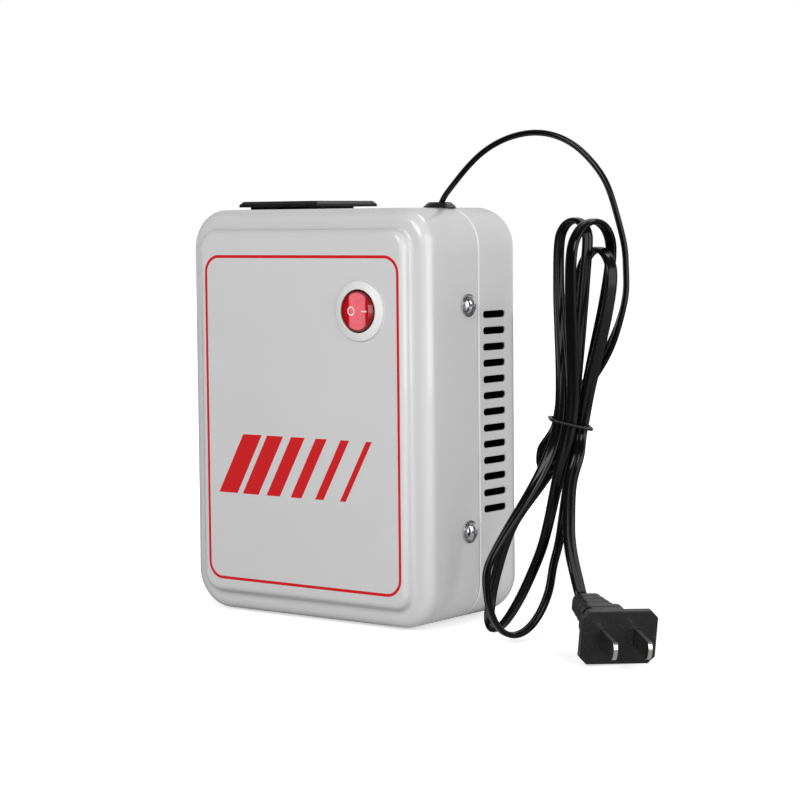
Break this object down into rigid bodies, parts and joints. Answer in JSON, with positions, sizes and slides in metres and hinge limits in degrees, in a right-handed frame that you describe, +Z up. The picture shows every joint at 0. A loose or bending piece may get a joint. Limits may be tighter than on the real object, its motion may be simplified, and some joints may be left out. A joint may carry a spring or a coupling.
{
  "type": "travel voltage converter",
  "caption": "Upright sheet-metal voltage converter box with a round rocker switch, a top outlet, side vents and a tied-up flat cord with a two-blade plug.",
  "frame": {"origin": "on the floor under the middle of the box, without its cord", "axes": "+Z up, the front with the switch faces -Y, the cord and its hank are on the +X side"},
  "size_m": [0.2306, 0.0931, 0.193],
  "materials": {
    "case_paint": "smooth gloss paint, light grey",
    "bright_steel": "bright plated steel",
    "plain_steel": "zinc-plated steel",
    "rubber_black": "matt black rubber",
    "bezel_plastic": "pale grey gloss plastic",
    "rocker_plastic": "red gloss plastic, slightly see-through",
    "inner_plastic": "natural nylon",
    "contact_brass": "bare brass",
    "black_plastic": "black satin plastic",
    "cord_pvc": "black satin PVC",
    "core_iron": "varnished core sheets",
    "winding_copper": "enamelled copper wire under varnish",
    "tape_yellow": "yellow insulating tape",
    "wire_pvc": "PVC insulated lead wire"
  },
  "bodies": {
    "case": {"front_cover": "case_paint", "rear_cover": "case_paint", "case_screws": "bright_steel", "screw_washers": "bright_steel", "weld_nuts": "plain_steel", "rubber_feet": "rubber_black", "switch_housing": "bezel_plastic", "switch_terminals": "contact_brass", "socket_faceplate": "black_plastic", "socket_base": "black_plastic", "socket_contacts": "contact_brass", "socket_screw": "plain_steel", "cord_bushing": "rubber_black", "cord_lead": "cord_pvc", "cord_hank": "cord_pvc", "cord_tie": "cord_pvc", "cord_tail": "cord_pvc", "plug_body": "cord_pvc", "plug_blades": "bright_steel", "core_e": "core_iron", "core_i": "core_iron", "bobbin": "inner_plastic", "primary_winding": "winding_copper", "secondary_winding": "winding_copper", "winding_tape": "tape_yellow", "thermal_cutout": "inner_plastic", "core_bolts": "plain_steel", "core_spacers": "plain_steel", "core_nuts": "plain_steel", "lead_wires": "wire_pvc"},
    "rocker": {"switch_rocker": "rocker_plastic", "rocker_plunger": "inner_plastic", "plunger_spring": "plain_steel"},
    "contact": {"moving_contact": "contact_brass"}
  },
  "joints": [
    {"name": "rocker_tip", "type": "hinge", "parent": "case", "child": "rocker", "pos_m": [0.031, -0.0328, 0.1236], "axis": [0, 0, 1], "range_deg": [0, 16]},
    {"name": "contact_tip", "type": "hinge", "parent": "case", "child": "contact", "pos_m": [0.031, -0.02285, 0.1236], "axis": [0, 0, 1], "range_deg": [-12, 0]}
  ],
  "couplings": [
    {"joint": "contact_tip", "follows": "rocker_tip", "ratio": -0.75}
  ]
}
